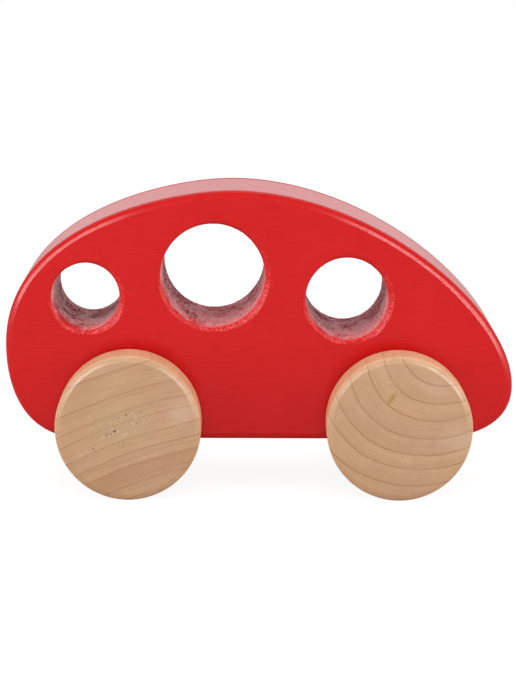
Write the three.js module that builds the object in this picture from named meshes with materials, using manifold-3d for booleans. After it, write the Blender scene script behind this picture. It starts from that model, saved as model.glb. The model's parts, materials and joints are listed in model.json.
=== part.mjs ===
// A wooden toy minivan: a painted slab body with three round windows, carried on two dowel axles.
// A plain wooden wheel is glued to each end of each axle, so an axle and its two wheels turn together.
// Millimetres. +X runs to the nose, +Y to the van's left side and +Z up.
// The origin is on the floor, under the middle of the body.
import * as THREE from "three";
import { mergeVertices, toCreasedNormals } from "three/addons/utils/BufferGeometryUtils.js";
import Module from "manifold-3d";

const wasm = await Module();
wasm.setup();

// Body
const BODY_LENGTH = 130;
const BODY_HEIGHT = 63.9; // from the flat underside to the roof's peak
const BODY_THICKNESS = 38;
const BODY_EDGE_ROUND = 2.7;
const ROOF_PEAK_X = -7.15; // from the middle of the body
const TAIL_HEIGHT = 24.4; // above the underside, where the tail reaches furthest back
const NOSE_HEIGHT = 13.95; // above the underside, where the nose reaches furthest forward
const TAIL_SWEEP = 19; // from the tail's end to where the flat underside starts
const NOSE_SWEEP = 21; // from the nose's end to where the flat underside stops

// How far each quarter of the outline bulges towards its corner, where it leaves and where it arrives
const TAIL_LOWER_FULLNESS = [0.7, 0.54];
const TAIL_UPPER_FULLNESS = [0.78, 0.28];
const BONNET_FULLNESS = [0.51, 0.39];
const NOSE_LOWER_FULLNESS = [0.92, 0.25];

// Windows, drilled right through the body
const REAR_WINDOW_DIAMETER = 17.3;
const MIDDLE_WINDOW_DIAMETER = 26.6;
const FRONT_WINDOW_DIAMETER = 21.1;
const MIDDLE_WINDOW_X = -12; // from the middle of the body
const REAR_WINDOW_DROP = 27; // from the roof's peak down to the window's centre
const MIDDLE_WINDOW_DROP = 21.5;
const FRONT_WINDOW_DROP = 27.35;
const WINDOW_WEB = 11; // wood left between two neighbouring windows
const WINDOW_EDGE_ROUND = 1.2;

// Wheels and axles
const TAIL_OVERHANG = 31.8; // from the tail's end to the rear axle
const NOSE_OVERHANG = 29.5; // from the front axle to the nose's end
const WHEEL_DIAMETER = 37;
const WHEEL_THICKNESS = 13;
const WHEEL_EDGE_ROUND = 1.4;
const WHEEL_FACE_WALL = 4; // solid wood between the axle's socket and the wheel's outer face
const WHEEL_SIDE_GAP = 1; // from the body's side to the wheel's inner face
const AXLE_DIAMETER = 6;
const AXLE_HEIGHT_IN_BODY = 5.3; // above the underside
const AXLE_END_CHAMFER = 0.6;
const AXLE_CLEARANCE = 0.3; // all round the axle, in the body's bore
const GLUE_GAP = 0.3; // all round the axle and past its end, in a wheel's socket
const BORE_MOUTH_CHAMFER = 0.5; // on the body's bores and the wheels' sockets

// Facets
const OUTLINE_STEPS = 20; // along each quarter of the body's outline
const ROUND_STEPS = 4; // across a rounded edge
const WINDOW_FACETS = 48;
const WHEEL_FACETS = 48;
const AXLE_FACETS = 24;
const CUT_PAST = 1; // how far a cutter stands out of the face that it cuts
const CREASE_ANGLE = THREE.MathUtils.degToRad(30); // sharper edges than this are shaded as creases

// Sizes that follow from those above
const AXLE_Z = WHEEL_DIAMETER / 2;
const UNDERSIDE_Z = AXLE_Z - AXLE_HEIGHT_IN_BODY;
const ROOF_Z = UNDERSIDE_Z + BODY_HEIGHT;
const SIDE_Y = BODY_THICKNESS / 2;
const TAIL_X = -BODY_LENGTH / 2;
const NOSE_X = BODY_LENGTH / 2;
const BORE_RADIUS = AXLE_DIAMETER / 2 + AXLE_CLEARANCE;
const SOCKET_RADIUS = AXLE_DIAMETER / 2 + GLUE_GAP;
const SOCKET_DEPTH = WHEEL_THICKNESS - WHEEL_FACE_WALL;
const AXLE_LENGTH = BODY_THICKNESS + 2 * (WHEEL_SIDE_GAP + SOCKET_DEPTH - GLUE_GAP);
const AXLES = [
  { end: "rear", x: TAIL_X + TAIL_OVERHANG },
  { end: "front", x: NOSE_X - NOSE_OVERHANG },
];

const redPaint = new THREE.MeshStandardMaterial({ color: 0xd32a2a, roughness: 0.45, metalness: 0 });
const wheelWood = new THREE.MeshStandardMaterial({ color: 0xc69e7a, roughness: 0.7, metalness: 0 });
const dowelWood = new THREE.MeshStandardMaterial({ color: 0xcfb08a, roughness: 0.75, metalness: 0 });

// Turns a closed geometry into a solid that can be cut.
function solidFrom(geometry) {
  const bare = geometry.clone();
  bare.deleteAttribute("normal");
  bare.deleteAttribute("uv");
  const welded = mergeVertices(bare);
  const vertProperties = welded.attributes.position.array;
  const triVerts = new Uint32Array(welded.index.array);
  return new wasm.Manifold(new wasm.Mesh({ numProp: 3, vertProperties, triVerts }));
}

// Turns a cut solid back into a geometry for a mesh.
function geometryFrom(solid) {
  const { vertProperties, triVerts } = solid.getMesh();
  const geometry = new THREE.BufferGeometry();
  geometry.setAttribute("position", new THREE.BufferAttribute(vertProperties, 3));
  geometry.setIndex(new THREE.BufferAttribute(triVerts, 1));
  return toCreasedNormals(geometry, CREASE_ANGLE);
}

// Points of a quarter circle in a turned profile, about a centre, between two angles in quarter turns.
function quarterRound(centreRadius, centreY, size, fromQuarter, toQuarter) {
  return Array.from({ length: ROUND_STEPS + 1 }, (_, step) => {
    const quarters = THREE.MathUtils.lerp(fromQuarter, toQuarter, step / ROUND_STEPS);
    const angle = (quarters * Math.PI) / 2;
    return new THREE.Vector2(centreRadius + size * Math.cos(angle), centreY + size * Math.sin(angle));
  });
}

// A profile that is the same on both sides of the body's middle plane, from the half that faces +Y.
function mirrored(half) {
  const other = half.map((point) => new THREE.Vector2(point.x, -point.y)).reverse();
  return [...other, ...half];
}

// Adds one quarter of the body's outline. It leaves level and arrives upright, or the other way about.
function addQuarter(outline, from, to, leavesLevel, [leaving, arriving]) {
  const corner = leavesLevel ? new THREE.Vector2(to.x, from.y) : new THREE.Vector2(from.x, to.y);
  const first = from.clone().lerp(corner, leaving);
  const second = to.clone().lerp(corner, arriving);
  outline.bezierCurveTo(first.x, first.y, second.x, second.y, to.x, to.y);
}

// The body's side view: a flat underside, a round tail, one long arch over the roof and a low nose.
function bodyOutline() {
  const undersideRear = new THREE.Vector2(TAIL_X + TAIL_SWEEP, UNDERSIDE_Z);
  const tail = new THREE.Vector2(TAIL_X, UNDERSIDE_Z + TAIL_HEIGHT);
  const roofPeak = new THREE.Vector2(ROOF_PEAK_X, ROOF_Z);
  const nose = new THREE.Vector2(NOSE_X, UNDERSIDE_Z + NOSE_HEIGHT);
  const undersideFront = new THREE.Vector2(NOSE_X - NOSE_SWEEP, UNDERSIDE_Z);
  const outline = new THREE.Shape();
  outline.moveTo(undersideRear.x, undersideRear.y);
  addQuarter(outline, undersideRear, tail, true, TAIL_LOWER_FULLNESS);
  addQuarter(outline, tail, roofPeak, false, TAIL_UPPER_FULLNESS);
  addQuarter(outline, roofPeak, nose, true, BONNET_FULLNESS);
  addQuarter(outline, nose, undersideFront, false, NOSE_LOWER_FULLNESS);
  outline.closePath();
  return outline;
}

// The outline cut from a plank, with both side edges rounded over.
function slab() {
  const geometry = new THREE.ExtrudeGeometry(bodyOutline(), {
    depth: BODY_THICKNESS - 2 * BODY_EDGE_ROUND,
    steps: 1,
    curveSegments: OUTLINE_STEPS,
    bevelEnabled: true,
    bevelThickness: BODY_EDGE_ROUND,
    bevelSize: BODY_EDGE_ROUND,
    bevelOffset: -BODY_EDGE_ROUND,
    bevelSegments: ROUND_STEPS,
  });
  geometry.translate(0, 0, BODY_EDGE_ROUND - SIDE_Y);
  geometry.rotateX(Math.PI / 2);
  return geometry;
}

// The windows' centres. The end windows stand one web of wood away from the middle one.
function windowPlaces() {
  const middle = { x: MIDDLE_WINDOW_X, z: ROOF_Z - MIDDLE_WINDOW_DROP, radius: MIDDLE_WINDOW_DIAMETER / 2 };
  const beside = (diameter, drop, towards) => {
    const z = ROOF_Z - drop;
    const spacing = middle.radius + WINDOW_WEB + diameter / 2;
    const x = middle.x + towards * Math.sqrt(spacing ** 2 - (z - middle.z) ** 2);
    return { x, z, radius: diameter / 2 };
  };
  const rear = beside(REAR_WINDOW_DIAMETER, REAR_WINDOW_DROP, -1);
  const front = beside(FRONT_WINDOW_DIAMETER, FRONT_WINDOW_DROP, 1);
  return [rear, middle, front];
}

// The wood that is drilled out for one window, flared at both sides to leave a rounded edge.
function windowCutter({ x, z, radius }) {
  const flareRadius = radius + WINDOW_EDGE_ROUND;
  const flare = quarterRound(flareRadius, SIDE_Y - WINDOW_EDGE_ROUND, WINDOW_EDGE_ROUND, 2, 1);
  const half = [...flare, new THREE.Vector2(flareRadius, SIDE_Y + CUT_PAST), new THREE.Vector2(0, SIDE_Y + CUT_PAST)];
  return new THREE.LatheGeometry(mirrored(half), WINDOW_FACETS).translate(x, 0, z);
}

// The wood that is drilled out for one axle, with a chamfer at each mouth.
function axleBoreCutter(x) {
  const half = [
    new THREE.Vector2(BORE_RADIUS, SIDE_Y - BORE_MOUTH_CHAMFER),
    new THREE.Vector2(BORE_RADIUS + BORE_MOUTH_CHAMFER + CUT_PAST, SIDE_Y + CUT_PAST),
    new THREE.Vector2(0, SIDE_Y + CUT_PAST),
  ];
  return new THREE.LatheGeometry(mirrored(half), AXLE_FACETS).translate(x, 0, AXLE_Z);
}

function makeBody() {
  const cutters = [...windowPlaces().map(windowCutter), ...AXLES.map(({ x }) => axleBoreCutter(x))];
  const solid = cutters.reduce((rest, cutter) => rest.subtract(solidFrom(cutter)), solidFrom(slab()));
  const body = new THREE.Mesh(geometryFrom(solid), redPaint);
  body.name = "slab_body";
  return body;
}

// A dowel along Y, with chamfered ends.
function makeAxle(end) {
  const radius = AXLE_DIAMETER / 2;
  const half = [
    new THREE.Vector2(radius, AXLE_LENGTH / 2 - AXLE_END_CHAMFER),
    new THREE.Vector2(radius - AXLE_END_CHAMFER, AXLE_LENGTH / 2),
    new THREE.Vector2(0, AXLE_LENGTH / 2),
  ];
  const axle = new THREE.Mesh(new THREE.LatheGeometry(mirrored(half), AXLE_FACETS), dowelWood);
  axle.name = `${end}_axle`;
  return axle;
}

// A disc turned about Y, with its inner face at Y = 0, its outer face towards -Y and a blind socket.
function wheelGeometry() {
  const radius = WHEEL_DIAMETER / 2;
  const roundRadius = radius - WHEEL_EDGE_ROUND;
  const profile = [
    new THREE.Vector2(0, -WHEEL_THICKNESS),
    ...quarterRound(roundRadius, WHEEL_EDGE_ROUND - WHEEL_THICKNESS, WHEEL_EDGE_ROUND, -1, 0),
    ...quarterRound(roundRadius, -WHEEL_EDGE_ROUND, WHEEL_EDGE_ROUND, 0, 1),
    new THREE.Vector2(SOCKET_RADIUS + BORE_MOUTH_CHAMFER, 0),
    new THREE.Vector2(SOCKET_RADIUS, -BORE_MOUTH_CHAMFER),
    new THREE.Vector2(SOCKET_RADIUS, -SOCKET_DEPTH),
    new THREE.Vector2(0, -SOCKET_DEPTH),
  ];
  return new THREE.LatheGeometry(profile, WHEEL_FACETS);
}

// The right wheel stands beyond the body's -Y side. The left one is the same disc, turned to face +Y.
function makeWheel(end, side) {
  const wheel = new THREE.Mesh(wheelGeometry(), wheelWood);
  wheel.name = `${end}_${side}_wheel`;
  const innerFaceY = SIDE_Y + WHEEL_SIDE_GAP;
  wheel.position.y = side === "right" ? -innerFaceY : innerFaceY;
  wheel.rotation.z = side === "right" ? 0 : Math.PI;
  return wheel;
}

// An axle with its two wheels, in a group whose origin is the middle of the axle.
function makeWheelset({ end, x }) {
  const wheelset = new THREE.Group();
  wheelset.position.set(x, 0, AXLE_Z);
  wheelset.add(makeAxle(end), makeWheel(end, "right"), makeWheel(end, "left"));
  return wheelset;
}

const van = new THREE.Group();
van.add(makeBody(), ...AXLES.map(makeWheelset));

export default van;
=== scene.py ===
"""Wooden toy minivan: a painted slab body with round windows, on turned wheels and dowel axles."""
import json
import math

import bmesh
import bpy
from mathutils import Matrix, Vector, geometry, kdtree, noise


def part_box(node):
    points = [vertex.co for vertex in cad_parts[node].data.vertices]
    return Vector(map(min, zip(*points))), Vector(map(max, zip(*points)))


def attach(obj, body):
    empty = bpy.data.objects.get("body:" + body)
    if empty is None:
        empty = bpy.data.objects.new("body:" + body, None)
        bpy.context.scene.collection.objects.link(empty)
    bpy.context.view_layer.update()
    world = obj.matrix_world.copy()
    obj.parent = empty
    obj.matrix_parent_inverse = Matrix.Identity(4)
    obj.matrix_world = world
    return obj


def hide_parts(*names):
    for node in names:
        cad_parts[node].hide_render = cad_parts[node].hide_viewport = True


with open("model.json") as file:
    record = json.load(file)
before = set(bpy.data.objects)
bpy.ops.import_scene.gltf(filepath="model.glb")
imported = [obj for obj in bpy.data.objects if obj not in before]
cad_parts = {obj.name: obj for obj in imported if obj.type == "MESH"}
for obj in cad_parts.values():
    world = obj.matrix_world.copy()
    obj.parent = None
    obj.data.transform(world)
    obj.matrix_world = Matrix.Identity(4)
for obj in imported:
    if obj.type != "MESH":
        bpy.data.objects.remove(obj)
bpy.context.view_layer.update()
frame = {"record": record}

MM = 0.001

# Slab body: extent from the frame, outline by the points where it runs level or upright
BODY_LOW, BODY_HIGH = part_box("slab_body")
TAIL_X = BODY_LOW.x
NOSE_X = BODY_HIGH.x
UNDERSIDE_Z = BODY_LOW.z
ROOF_Z = BODY_HIGH.z
SIDE_Y = BODY_HIGH.y
ROOF_PEAK_X = -7.15 * MM
TAIL_HEIGHT = 24.4 * MM
NOSE_HEIGHT = 13.95 * MM
TAIL_SWEEP = 19 * MM
NOSE_SWEEP = 21 * MM
TAIL_LOWER_FULLNESS = (0.7, 0.54)
TAIL_UPPER_FULLNESS = (0.78, 0.28)
BONNET_FULLNESS = (0.51, 0.39)
NOSE_LOWER_FULLNESS = (0.92, 0.25)
QUARTER_STEPS = 120
OUTLINE_SPACING = 0.8 * MM
WALL_ROWS = 22

# Worked edges of the slab: a narrow lean facet beside the flat side, then a rounding into the wall
BODY_FACET_WIDTH = 1.1 * MM
BODY_FACET_LEAN = math.radians(20)
BODY_ROUND_INSET = 0.58 * MM
BODY_ROUND_DEPTH = 1.35 * MM
BODY_EDGE_WANDER = 0.07
BODY_EDGE_WANDER_LENGTH = 14 * MM
EDGE_TURN = math.radians(15)
FACET_STEPS = 9
FACET_FLAT_SHARE = 0.78
ROUND_STEPS = 8
HANDLED_EDGE = (13.5 * MM, 17.5 * MM)

# Windows: drilled right through, with a torn, hand-sanded rim
WINDOW_DIAMETERS = {"rear_window": 17.3 * MM, "middle_window": 26.6 * MM, "front_window": 21.1 * MM}
WINDOW_FACET_WIDTH = 0.9 * MM
WINDOW_FACET_LEAN = math.radians(20)
WINDOW_ROUND_INSET = 0.2 * MM
WINDOW_ROUND_DEPTH = 0.45 * MM
WINDOW_EDGE_WANDER = 0.25
WINDOW_EDGE_DRIFT = Vector((0.42, -0.1))
WINDOW_EDGE_WANDER_LENGTH = 5 * MM
WINDOW_SPACING = 0.26 * MM
WINDOW_ROWS = 30
RIM_WEAR = 0.45
RIM_WEAR_DRIFT = Vector((0.2, -0.5))
RIM_WEAR_LEAST = 0.05
RIM_FADE = 0.8 * MM
TORN_DEPTH = 0.09 * MM
TORN_GRAIN = 0.5 * MM
RAGGED_REACH = 0.25 * MM
RAGGED_GRAIN = 0.7 * MM
DRILL_MARK_DEPTH = 0.05 * MM
DRILL_MARK_PITCH = 1.7 * MM
DRILL_MARK_LENGTH = 0.9 * MM
BORE_ONSET = 3
DEEP_REACH = 26 * MM

# Axle bores through the body
AXLE_BORE_RADIUS = 3.3 * MM
AXLE_BORE_CHAMFER = 0.5 * MM
AXLE_BORE_FACETS = 64
AXLE_CUTTER_REACH = 1 * MM

# Flat sides of the slab
SIDE_GRID = 2.2 * MM
SIDE_GRID_MARGIN = 0.9 * MM
SIDE_TOLERANCE = 1e-7

# Turned pieces
WHEEL_FACETS = 192
WHEEL_EDGE_INSET = 1.5 * MM
WHEEL_EDGE_ROUND = 1.3 * MM
WHEEL_EDGE_LEAN = math.radians(20)
WHEEL_SOCKET_RADIUS = 3.3 * MM
WHEEL_SOCKET_DEPTH = 9 * MM
WHEEL_UNEVENNESS = 0.05 * MM
DOWEL_FACETS = 64
DOWEL_EDGE_INSET = 0.6 * MM
DOWEL_EDGE_ROUND = 0.5 * MM
DOWEL_UNEVENNESS = 0.03 * MM
UNEVENNESS_LENGTH = 12 * MM
EDGE_ROUND_REACH = 1.3
EDGE_ROUND_POINTS = 9
SHARP_ANGLE = math.radians(7)
DOUBLES_DISTANCE = 0.005 * MM

# Red paint, in linear colours, with painted light and shade for the window rims and bores
PAINT = (0.640, 0.0030, 0.0036)
PAINT_LIGHTER = (0.672, 0.0052, 0.0058)
PAINT_ON_GRAIN = (0.560, 0.0012, 0.0016)
# Painted shade for the window rims' rounding where it faces down
PAINTED_SHADE_UNDER_RIM = (0.34, 0.001, 0.002)
# Torn fibres on the window rims, partly painted glint flecks
RIM_FUZZ_AND_GLINT = (0.95, 0.11, 0.11)
# Thin paint in the bores, brightened at the mouth as painted light and darkened deeper in as painted shade
WINDOW_MOUTH_PAINTED_LIGHT = (0.95, 0.038, 0.046)
WINDOW_DEEP_PAINTED_SHADE = (0.66, 0.050, 0.078)
WINDOW_LIP_PAINTED_HIGHLIGHT = (1.0, 0.12, 0.13)
# Painted sheen for the left wall of each bore
WINDOW_PAINTED_SHEEN = (1.0, 0.36, 0.40)
WINDOW_STAIN_AND_SHADE = (0.50, 0.006, 0.018)
WINDOW_TORN = (0.75, 0.006, 0.008)
DRILL_DASH = (0.23, 0.003, 0.011)

# Bare wood, in linear colours
EARLY_WOOD = (0.685, 0.421, 0.237)
LATE_WOOD = (0.608, 0.345, 0.183)
DARK_YEAR = (0.50, 0.275, 0.143)
WOOD_PATCH = (0.69, 0.445, 0.295)
WOOD_BLOTCH = (0.50, 0.280, 0.150)
FINE_RING = (0.46, 0.255, 0.130)
WOOD_RAY = (0.50, 0.28, 0.150)
WOOD_SPECKLE = (0.50, 0.285, 0.152)
YELLOW_CAST = (0.555, 0.388, 0.205)
PALE_SPOT = (0.71, 0.475, 0.335)
RING_LINE = (0.37, 0.185, 0.080)
DARK_FIBRE = (0.52, 0.300, 0.170)
BROWN_BAND = (0.46, 0.225, 0.115)
BROWN_STREAK = (0.42, 0.235, 0.060)
WOOD_PORE = (0.33, 0.17, 0.085)
TORN_FIBRE = (0.78, 0.60, 0.50)
DARK_PIT = (0.05, 0.022, 0.012)
DOWEL_PALE = (0.66, 0.47, 0.285)
DOWEL_DARK = (0.55, 0.36, 0.20)
DOWEL_PATCH = (0.70, 0.51, 0.32)
RING_WANDER = 1.0 * MM
ALONG_AXLE = math.pi / 2

# Camera, set where the photograph was taken from
CAMERA_PLACE = Vector((-3.487, -733.894, 152.18)) * MM
CAMERA_PITCH = math.radians(9.0694)
CAMERA_YAW = math.radians(0.2502)
CAMERA_ROLL = math.radians(0.2488)
CAMERA_LENS = 148.03

# Studio
WHITE = (1.0, 1.0, 1.0)
HORIZON_LIGHT = 0.16
OVERHEAD_LIGHT = 1.05
BEHIND_LIGHT = 0.25
BACKDROP_EDGE = (0.86, 0.975)
BACKDROP_GLOSS = 0.82
BESIDE_BACKDROP_GLOSS = 0.4
FLOOR_SIZE = 6.0
# The floor is darker near the toy, as painted shade in the light it bounces
FLOOR_NEAR, FLOOR_NEAR_SHADE_TONE = 40 * MM, 0.6
FLOOR_FAR, FLOOR_FAR_TONE = 120 * MM, 0.8
FLOOR_GLOSS_TONE = (0.7, 0.7, 0.7)
FLOOR_SHADOW_TONE = (0.2, 0.2, 0.2)
FLOOR_GLOW = (0.9, 0.9, 0.9)
LAMP_DISTANCE = 1.1
LAMP_AIM = Vector((0.0, 0.0, 40 * MM))
STRIP_SIZE, STRIP_RADIANCE = (0.66, 0.14), 12.5
STRIP_AZIMUTH, STRIP_ELEVATION, STRIP_ROLL = 34.3, 18.6, 46
PANEL_SIZE, PANEL_RADIANCE = (0.90, 0.90), 1.7
PANEL_AZIMUTH, PANEL_ELEVATION = 65, 12
FILL_SIZE, FILL_RADIANCE = (0.90, 0.50), 1.72
FILL_ELEVATION = 38


# Node helpers

def fill(tree, place, value):
    """Links a socket into an input, or sets a plain value on it. A colour is given without its alpha."""
    if isinstance(value, bpy.types.NodeSocket):
        tree.links.new(value, place)
    elif value is not None:
        place.default_value = (*value, 1.0) if place.type == "RGBA" else value


def add(tree, kind, inputs=(), **settings):
    """Adds a node. Its inputs are filled in order from a tuple, or by name from a dictionary."""
    node = tree.nodes.new(kind)
    for name, value in settings.items():
        setattr(node, name, value)
    pairs = inputs.items() if isinstance(inputs, dict) else enumerate(inputs)
    for key, value in pairs:
        fill(tree, node.inputs[key], value)
    return node


def maths(tree, operation, first, second=None, third=None, clamp=False):
    """A Math node's result."""
    inputs = (first, second, third)
    return add(tree, "ShaderNodeMath", inputs, operation=operation, use_clamp=clamp).outputs[0]


def times(tree, *factors):
    """The product of several values."""
    product = factors[0]
    for factor in factors[1:]:
        product = maths(tree, "MULTIPLY", product, factor)
    return product


def more(tree, base, *additions):
    """A base with shares of other values added to it, each given as (value, share)."""
    for value, share in additions:
        base = maths(tree, "MULTIPLY_ADD", value, share, base)
    return base


def rest_of(tree, share):
    """What a share leaves of one."""
    return maths(tree, "SUBTRACT", 1.0, share)


def vectors(tree, operation, first, second=None):
    """A Vector Math node's vector result."""
    return add(tree, "ShaderNodeVectorMath", (first, second), operation=operation).outputs[0]


def scaled(tree, vector, factor):
    """A vector times a value."""
    inputs = {"Vector": vector, "Scale": factor}
    return add(tree, "ShaderNodeVectorMath", inputs, operation="SCALE").outputs[0]


def length_of(tree, vector):
    """A vector's length."""
    return add(tree, "ShaderNodeVectorMath", (vector,), operation="LENGTH").outputs["Value"]


def joined(tree, x, y, z):
    """A vector from three values."""
    return add(tree, "ShaderNodeCombineXYZ", (x, y, z)).outputs[0]


def parts(tree, vector):
    """A vector's three values, by their names X, Y and Z."""
    return add(tree, "ShaderNodeSeparateXYZ", (vector,)).outputs


def rotated(tree, vector, about_y=0.0, about_z=0.0):
    """A vector turned about the Y and Z axes."""
    return add(tree, "ShaderNodeMapping", {"Vector": vector, "Rotation": (0.0, about_y, about_z)}).outputs[0]


def ranged(tree, value, low, high, to_low=0.0, to_high=1.0):
    """A smooth step of a value from one range to another, held at its ends."""
    inputs = (value, low, high, to_low, to_high)
    return add(tree, "ShaderNodeMapRange", inputs, interpolation_type="SMOOTHSTEP").outputs[0]


def blended(tree, factor, first, second, blend="MIX"):
    """A colour between two colours."""
    node = add(tree, "ShaderNodeMix", data_type="RGBA", blend_type=blend)
    for key, value in ((0, factor), (6, first), (7, second)):
        fill(tree, node.inputs[key], value)
    return node.outputs[2]


def tinted(tree, base, *layers):
    """A colour with tints laid over it in turn, each given as (tint, masks to multiply)."""
    for tint, *masks in layers:
        base = blended(tree, times(tree, *masks), base, tint)
    return base


def noisy(tree, vector, scale, detail=2.0, roughness=0.5):
    """A noise value, near a half on average."""
    inputs = {"Vector": vector, "Scale": scale, "Detail": detail, "Roughness": roughness}
    return add(tree, "ShaderNodeTexNoise", inputs).outputs[0]


def bumped(tree, height, distance, normal=None):
    """A normal tilted by a height that reaches the given distance."""
    return add(tree, "ShaderNodeBump", {"Distance": distance, "Height": height, "Normal": normal}).outputs[0]


def attribute(tree, name, output="Fac"):
    """A value that the mesh holds for each of its points."""
    return add(tree, "ShaderNodeAttribute", attribute_name=name).outputs[output]


def coordinates(tree):
    """The place on a piece and the way that its surface faces there."""
    given = add(tree, "ShaderNodeTexCoord").outputs
    return given["Object"], given["Normal"]


def new_tree(name, kind, inputs, outputs):
    """A node group with named sockets. Gives the tree, its inner input sockets and its output node."""
    tree = bpy.data.node_groups.new(name, kind)
    for in_out, sockets in (("INPUT", inputs), ("OUTPUT", outputs)):
        for socket_name, socket_type in sockets:
            tree.interface.new_socket(name=socket_name, in_out=in_out, socket_type="NodeSocket" + socket_type)
    entry = tree.nodes.new("NodeGroupInput")
    ending = tree.nodes.new("NodeGroupOutput")
    return tree, entry.outputs, ending


def placed(tree, group, **inputs):
    """A node group placed in a material. Gives its outputs."""
    return add(tree, "ShaderNodeGroup", inputs, node_tree=group).outputs


# Effects that several finishes share

def wood_fibre_group():
    """Long fine streaks along X, as wood fibres give: a tone and a height, both about a half on average."""
    inputs = (("Vector", "Vector"), ("Width", "Float"), ("Length", "Float"))
    outputs = (("Tone", "Float"), ("Height", "Float"))
    tree, given, ending = new_tree("Wood fibre", "ShaderNodeTree", inputs, outputs)
    size = joined(tree, given["Length"], given["Width"], given["Width"])
    stretched = vectors(tree, "DIVIDE", given["Vector"], size)
    streaks = noisy(tree, stretched, 1.0, detail=3.0, roughness=0.6)
    hairs = noisy(tree, stretched, 3.1, detail=1.0)
    fill(tree, ending.inputs["Tone"], ranged(tree, streaks, 0.3, 0.7))
    fill(tree, ending.inputs["Height"], more(tree, times(tree, streaks, 0.6), (hairs, 0.4)))
    return tree


def specks_group():
    """A mask of small round specks, with the share of places that hold one."""
    inputs = (("Vector", "Vector"), ("Spacing", "Float"), ("Share", "Float"))
    tree, given, ending = new_tree("Specks", "ShaderNodeTree", inputs, (("Mask", "Float"),))
    place = scaled(tree, given["Vector"], maths(tree, "DIVIDE", 1.0, given["Spacing"]))
    cells = add(tree, "ShaderNodeTexVoronoi", {"Vector": place, "Scale": 1.0, "Randomness": 0.9}).outputs
    draws = add(tree, "ShaderNodeSeparateColor", (cells["Color"],)).outputs
    reach = more(tree, 0.12, (draws["Green"], 0.3))
    spot = maths(tree, "SUBTRACT", 1.0, maths(tree, "DIVIDE", cells["Distance"], reach), clamp=True)
    held = maths(tree, "LESS_THAN", draws["Red"], given["Share"])
    fill(tree, ending.inputs["Mask"], times(tree, ranged(tree, spot, 0.0, 0.6), held))
    return tree


def mottle_group():
    """A tone in broad soft patches, as uneven paint or handled wood has."""
    inputs = (("Vector", "Vector"), ("Size", "Float"))
    tree, given, ending = new_tree("Mottle", "ShaderNodeTree", inputs, (("Tone", "Float"),))
    scale = maths(tree, "DIVIDE", 1.0, given["Size"])
    patches = noisy(tree, given["Vector"], scale, detail=3.0, roughness=0.55)
    fill(tree, ending.inputs["Tone"], ranged(tree, patches, 0.25, 0.75))
    return tree


def growth_ring_group():
    """One year's growth after another: pale at first, slowly darker, a thin dark line, then pale again."""
    outputs = (("Late Growth", "Float"), ("Line", "Float"), ("Year Tone", "Float"))
    tree, given, ending = new_tree("Growth rings", "ShaderNodeTree", (("Ring", "Float"),), outputs)
    season = maths(tree, "FRACT", given["Ring"])
    year = maths(tree, "FLOOR", given["Ring"])
    rise = ranged(tree, season, 0.86, 0.95)
    fall = ranged(tree, season, 0.985, 1.0, 1.0, 0.0)
    fill(tree, ending.inputs["Late Growth"], maths(tree, "POWER", season, 1.6))
    fill(tree, ending.inputs["Line"], times(tree, rise, fall))
    year_noise = add(tree, "ShaderNodeTexWhiteNoise", {"W": year}, noise_dimensions="1D")
    fill(tree, ending.inputs["Year Tone"], year_noise.outputs["Value"])
    return tree


WOOD_FIBRE = wood_fibre_group()
SPECKS = specks_group()
MOTTLE = mottle_group()
GROWTH_RINGS = growth_ring_group()


# Finishes

def new_material(name, ior):
    """A material with one Principled shader. Gives the material, its tree and the shader's inputs."""
    material = bpy.data.materials.new(name)
    material.use_nodes = True
    shader = material.node_tree.nodes["Principled BSDF"]
    shader.inputs["IOR"].default_value = ior
    return material, material.node_tree, shader.inputs


def window_paint(tree, marks, smears, torn):
    """Thin paint in a window's bore, with painted light and shade: lighter at the mouth with a painted
    highlight at the lip and a painted sheen on the left wall, darker deeper in as painted shade over random
    stains and drill dashes, flecked and torn by the drill.

    Gives its colour, and how much rougher it is than the rest of the paint.
    """
    deep = attribute(tree, "deep")
    dashes = times(tree, ranged(tree, marks, 0.5, 0.58), ranged(tree, smears, 0.35, 0.6, 0.4, 1.0),
                   ranged(tree, torn, 0.0, 0.6, 0.5, 1.0))
    raw = times(tree, ranged(tree, torn, 0.1, 0.7), ranged(tree, deep, 0.05, 0.45, 1.0, 0.0),
                ranged(tree, smears, 0.3, 0.55))
    # Painted sheen: the left wall of each bore is whitened, most near the mouth
    pale = times(tree, attribute(tree, "pale"), ranged(tree, deep, 0.0, 0.9, 0.9, 0.15))
    stain_and_shade = times(tree, ranged(tree, smears, 0.46, 0.64), ranged(tree, deep, 0.1, 0.5, 0.0, 0.65),
                  rest_of(tree, pale))
    # Painted light and shade along the bore: lighter at the mouth with a painted highlight at the lip, darker
    # deeper in with the stains and drill dashes
    thin = tinted(
        tree, blended(tree, deep, WINDOW_MOUTH_PAINTED_LIGHT, WINDOW_DEEP_PAINTED_SHADE),
        (WINDOW_LIP_PAINTED_HIGHLIGHT, ranged(tree, deep, 0.05, 0.4, 0.65, 0.0)),
        (WINDOW_PAINTED_SHEEN, pale),
        (WINDOW_STAIN_AND_SHADE, stain_and_shade),
        (WINDOW_TORN, raw),
        (DRILL_DASH, dashes, ranged(tree, deep, 0.05, 0.5, 0.35, 0.97)),
    )
    return thin, more(tree, 0.05, (deep, 0.12), (stain_and_shade, 0.2), (maths(tree, "MAXIMUM", dashes, raw), 0.45))


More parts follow.
